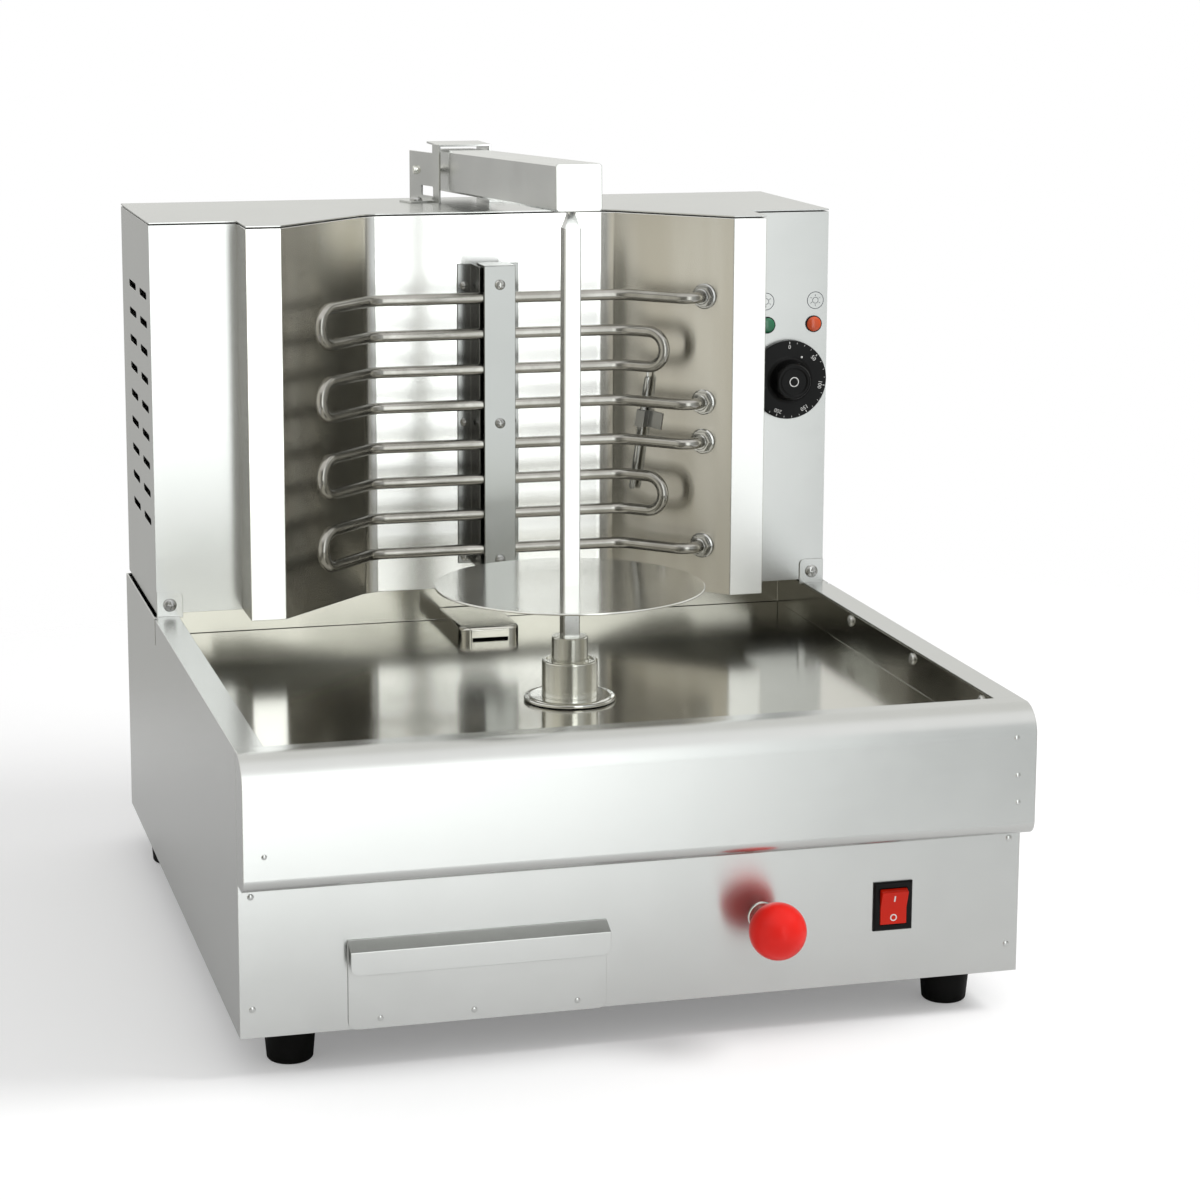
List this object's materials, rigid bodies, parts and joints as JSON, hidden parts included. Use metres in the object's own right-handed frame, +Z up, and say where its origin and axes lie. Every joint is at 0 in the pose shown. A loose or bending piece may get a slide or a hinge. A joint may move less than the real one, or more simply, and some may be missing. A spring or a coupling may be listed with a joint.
{
  "type": "electric doner kebab grill",
  "caption": "Countertop vertical meat roaster: square skewer and round plate before folded heating elements, drip tray with grease drawer, support arm, dial and rocker switch.",
  "frame": {"origin": "centre of the footprint of the bounding box, on the floor", "axes": "+Z up, -Y to the front with the tray and the switch, +X to the right with the dial"},
  "size_m": [0.49, 0.5814, 0.5235],
  "materials": {
    "casing_steel": "satin brushed sheet",
    "inner_steel": "plain sheet and bright bar",
    "reflector_steel": "satin sheet, warmed by use",
    "polished_steel": "polished",
    "bar_steel": "drawn bar",
    "screw_steel": "turned",
    "element_tube": "dark oxidised sheath",
    "foot_rubber": "matt",
    "black_plastic": "moulded",
    "red_gloss": "glossy",
    "green_lens": "translucent",
    "orange_lens": "translucent",
    "motor_paint": "painted",
    "terminal_plastic": "moulded"
  },
  "bodies": {
    "base": {"base_side_left": "casing_steel", "base_side_right": "casing_steel", "base_front_panel": "casing_steel", "base_back_panel": "casing_steel", "front_apron": "casing_steel", "drip_tray": "casing_steel", "upper_shell_left": "casing_steel", "upper_shell_right": "casing_steel", "top_cover": "casing_steel", "upper_back_panel": "casing_steel", "saddle_bracket": "casing_steel", "base_bottom_plate": "inner_steel", "grease_chute": "inner_steel", "upper_floor": "inner_steel", "drawer_runners": "inner_steel", "guide_rods": "inner_steel", "rail_brackets": "inner_steel", "capillary_clip": "inner_steel", "rod_bush": "inner_steel", "reflector": "reflector_steel", "element_channel": "reflector_steel", "element_clamp": "reflector_steel", "drain_hood": "polished_steel", "arm_hinge_pin": "bar_steel", "element_bosses": "screw_steel", "capillary_bulb": "screw_steel", "heating_element_upper": "element_tube", "heating_element_lower": "element_tube", "foot_front_left": "foot_rubber", "foot_front_right": "foot_rubber", "foot_rear_left": "foot_rubber", "foot_rear_right": "foot_rubber", "switch_frame": "black_plastic", "thermostat_body": "black_plastic", "cable_gland": "black_plastic", "lamp_green": "green_lens", "lamp_orange": "orange_lens", "terminal_block": "terminal_plastic"},
    "knob": {"thermostat_knob": "black_plastic", "thermostat_stem": "bar_steel"},
    "rocker": {"switch_rocker": "red_gloss"},
    "carriage": {"drive_carriage": "inner_steel", "gear_motor": "motor_paint", "pull_rod": "bar_steel", "ball_knob": "red_gloss"},
    "spit": {"seal_disc": "polished_steel", "drive_socket": "polished_steel", "skewer": "bar_steel", "meat_plate": "polished_steel"},
    "arm": {"support_arm": "bar_steel", "arm_end_cap": "bar_steel"},
    "drawer": {"drawer_box": "inner_steel", "drawer_front": "casing_steel"}
  },
  "joints": [
    {"name": "carriage_slide", "type": "slide", "parent": "base", "child": "carriage", "axis": [0, 1, 0], "range_m": [-0.01, 0.01]},
    {"name": "spit_turn", "type": "hinge", "parent": "carriage", "child": "spit", "pos_m": [0, -0.07325, 0.175], "axis": [0, 0, 1], "continuous": true},
    {"name": "arm_lift", "type": "hinge", "parent": "base", "child": "arm", "pos_m": [0, 0.25675, 0.4945], "axis": [-1, 0, 0], "range_deg": [0, 2.5]},
    {"name": "dial_turn", "type": "hinge", "parent": "base", "child": "knob", "pos_m": [0.213, 0.12075, 0.3507], "axis": [0, 1, 0], "range_deg": [0, 300]},
    {"name": "switch_rock", "type": "hinge", "parent": "base", "child": "rocker", "pos_m": [0.1612, -0.24325, 0.075], "axis": [-1, 0, 0], "range_deg": [0, 18]},
    {"name": "drawer_slide", "type": "slide", "parent": "base", "child": "drawer", "axis": [0, -1, 0], "range_m": [0, 0.22]}
  ]
}
